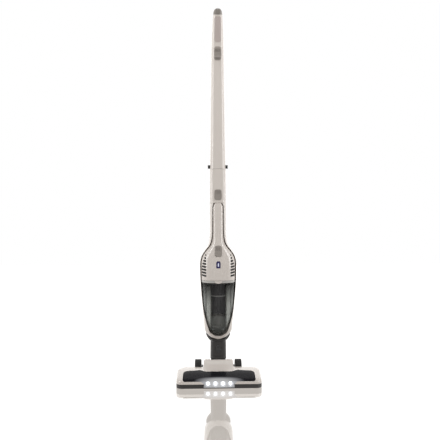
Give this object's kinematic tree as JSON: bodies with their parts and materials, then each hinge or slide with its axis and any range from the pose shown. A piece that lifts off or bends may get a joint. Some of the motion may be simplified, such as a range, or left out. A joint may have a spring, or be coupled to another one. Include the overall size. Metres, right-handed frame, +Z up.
{
  "type": "cordless stick vacuum",
  "caption": "Upright cordless stick vacuum: floor head with lamps and brush roller, swivelling neck, removable handheld with smoky dust cup, and a fold-down handle",
  "frame": {"origin": "on the floor, at the middle of the footprint's bounding box", "axes": "+Z up, +X to the right of someone facing the lamps, -Y towards them"},
  "size_m": [0.243, 0.155, 1.0803],
  "materials": {
    "white_shell": "glossy warm white moulding",
    "black_plastic": "fine satin grain",
    "grey_button": "satin grey-brown",
    "grey_plastic": "plain satin",
    "soft_grip": "soft-touch",
    "rubber": "matt",
    "smoky_clear": "smoke-tinted clear plastic",
    "steel": "turned",
    "motor_can": "drawn can",
    "reflector": "vacuum-plated",
    "lamp": "clear lens over a white lamp",
    "indicator": "lit window",
    "circuit_board": "solder mask",
    "battery_wrap": "shrink wrap",
    "filter_cloth": "pleated cloth",
    "bristle": "nylon bristle"
  },
  "bodies": {
    "head": {"head_cover": "white_shell", "head_base": "black_plastic", "head_window": "smoky_clear", "lamp_reflector": "reflector", "lamp_board": "circuit_board", "lamp_lens_1": "lamp", "lamp_lens_2": "lamp", "lamp_lens_3": "lamp", "lamp_lens_4": "lamp", "brush_motor": "motor_can", "drive_belt": "rubber", "brush_bearing_left": "grey_plastic", "brush_bearing_right": "grey_plastic", "suction_duct": "black_plastic", "tilt_pin_left": "steel", "tilt_pin_right": "steel", "front_glide_left": "rubber", "front_glide_right": "rubber", "wheel_axle_left": "steel", "wheel_axle_right": "steel"},
    "brush": {"brush_core": "grey_plastic", "brush_pulley": "black_plastic", "bristle_row_1": "bristle", "bristle_row_2": "bristle"},
    "brush_motor_shaft": {"motor_pulley": "steel"},
    "wheel_left": {"rear_wheel_left": "black_plastic", "rear_tyre_left": "rubber"},
    "wheel_right": {"rear_wheel_right": "black_plastic", "rear_tyre_right": "rubber"},
    "yoke": {"neck_yoke": "black_plastic"},
    "frame": {"neck_tube": "black_plastic", "frame_front_shell": "white_shell", "frame_rear_shell": "white_shell", "dock_gasket": "rubber", "charge_socket": "black_plastic", "fold_pin": "steel"},
    "neck_catch": {"neck_button": "black_plastic"},
    "release": {"release_button": "grey_button"},
    "handheld": {"handheld_front_housing": "white_shell", "handheld_rear_housing": "white_shell", "battery_pack": "battery_wrap", "suction_motor": "motor_can", "motor_seal": "rubber", "control_board": "circuit_board", "battery_light": "indicator"},
    "fan": {"suction_fan": "grey_plastic"},
    "handheld_button": {"handheld_switch": "grey_button"},
    "cup": {"dust_cup": "smoky_clear", "cup_rim": "grey_plastic", "filter_frame": "black_plastic", "filter_sleeve": "filter_cloth", "inlet_tube": "grey_plastic"},
    "cup_catch": {"cup_latch": "white_shell"},
    "handle": {"handle_front_shell": "white_shell", "handle_rear_shell": "white_shell", "grip_pad": "soft_grip", "end_cap": "black_plastic"},
    "power_slider": {"power_switch": "grey_button"},
    "fold_catch_left": {"fold_button_left": "black_plastic"},
    "fold_catch_right": {"fold_button_right": "black_plastic"}
  },
  "joints": [
    {"name": "neck_tilt", "type": "hinge", "parent": "head", "child": "yoke", "pos_m": [0, 0.036, 0.03], "axis": [-1, 0, 0], "range_deg": [0, 70]},
    {"name": "neck_swivel", "type": "hinge", "parent": "yoke", "child": "frame", "pos_m": [0, 0.036, 0.06], "axis": [0, 0, 1], "range_deg": [-80, 80]},
    {"name": "brush_spin", "type": "hinge", "parent": "head", "child": "brush", "pos_m": [0, -0.047, 0.0145], "axis": [1, 0, 0], "continuous": true},
    {"name": "brush_motor_spin", "type": "hinge", "parent": "head", "child": "brush_motor_shaft", "pos_m": [0.1, 0.002, 0.024], "axis": [1, 0, 0], "continuous": true},
    {"name": "left_wheel_spin", "type": "hinge", "parent": "head", "child": "wheel_left", "pos_m": [-0.06, 0.0525, 0.025], "axis": [1, 0, 0], "continuous": true},
    {"name": "right_wheel_spin", "type": "hinge", "parent": "head", "child": "wheel_right", "pos_m": [0.06, 0.0525, 0.025], "axis": [1, 0, 0], "continuous": true},
    {"name": "neck_button_press", "type": "slide", "parent": "frame", "child": "neck_catch", "axis": [0, 1, 0], "range_m": [0, 0.002], "stiffness_N_per_m": 400},
    {"name": "release_press", "type": "slide", "parent": "frame", "child": "release", "axis": [0, 1, 0], "range_m": [0, 0.002], "stiffness_N_per_m": 400},
    {"name": "handheld_undock", "type": "slide", "parent": "frame", "child": "handheld", "axis": [0, -1, 0], "range_m": [0, 0.16]},
    {"name": "suction_fan_spin", "type": "hinge", "parent": "handheld", "child": "fan", "pos_m": [0, 0.015, 0.31], "axis": [0, 0, 1], "continuous": true},
    {"name": "handheld_switch_press", "type": "slide", "parent": "handheld", "child": "handheld_button", "axis": [0, 1, 0], "range_m": [0, 0.002], "stiffness_N_per_m": 400},
    {"name": "cup_removal", "type": "slide", "parent": "handheld", "child": "cup", "axis": [0, -1, 0], "range_m": [0, 0.11]},
    {"name": "cup_latch_press", "type": "slide", "parent": "cup", "child": "cup_catch", "axis": [0, 1, 0], "range_m": [0, 0.002], "stiffness_N_per_m": 400},
    {"name": "handle_fold", "type": "hinge", "parent": "frame", "child": "handle", "pos_m": [0, 0.0615, 0.62], "axis": [-1, 0, 0], "range_deg": [0, 168]},
    {"name": "power_switch_slide", "type": "slide", "parent": "handle", "child": "power_slider", "axis": [0, -0.2028, 0.9792], "range_m": [0, 0.006]},
    {"name": "left_fold_button_press", "type": "slide", "parent": "handle", "child": "fold_catch_left", "axis": [1, 0, 0], "range_m": [0, 0.003], "stiffness_N_per_m": 400},
    {"name": "right_fold_button_press", "type": "slide", "parent": "handle", "child": "fold_catch_right", "axis": [-1, 0, 0], "range_m": [0, 0.003], "stiffness_N_per_m": 400}
  ],
  "couplings": [
    {"joint": "brush_motor_spin", "follows": "brush_spin", "ratio": 1.4444}
  ]
}
